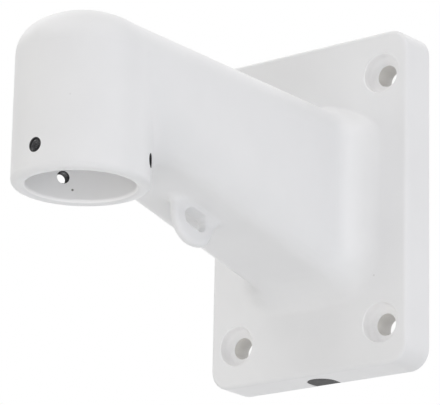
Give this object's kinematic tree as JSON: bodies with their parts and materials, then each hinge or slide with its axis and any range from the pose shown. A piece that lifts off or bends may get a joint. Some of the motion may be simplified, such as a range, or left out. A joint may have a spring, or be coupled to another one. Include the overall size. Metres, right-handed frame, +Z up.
{
  "type": "camera wall bracket",
  "caption": "Hollow cast wall bracket: a rectangular plate carries a tapering arm ending in a domed pipe socket open underneath, with a safety-rope eye under the arm and a plugged cable notch.",
  "frame": {"origin": "middle of the bolt pattern in the plane of the wall", "axes": "+Z up, the arm reaches towards -Y, +X to the right seen along +Y"},
  "size_m": [0.1124, 0.21, 0.1602],
  "materials": {
    "casting": "white powder coat, fine satin",
    "plug": "dark grey matt rubber"
  },
  "bodies": {
    "root": {"bracket_casting": "casting", "cable_entry_plug": "plug"}
  },
  "joints": []
}
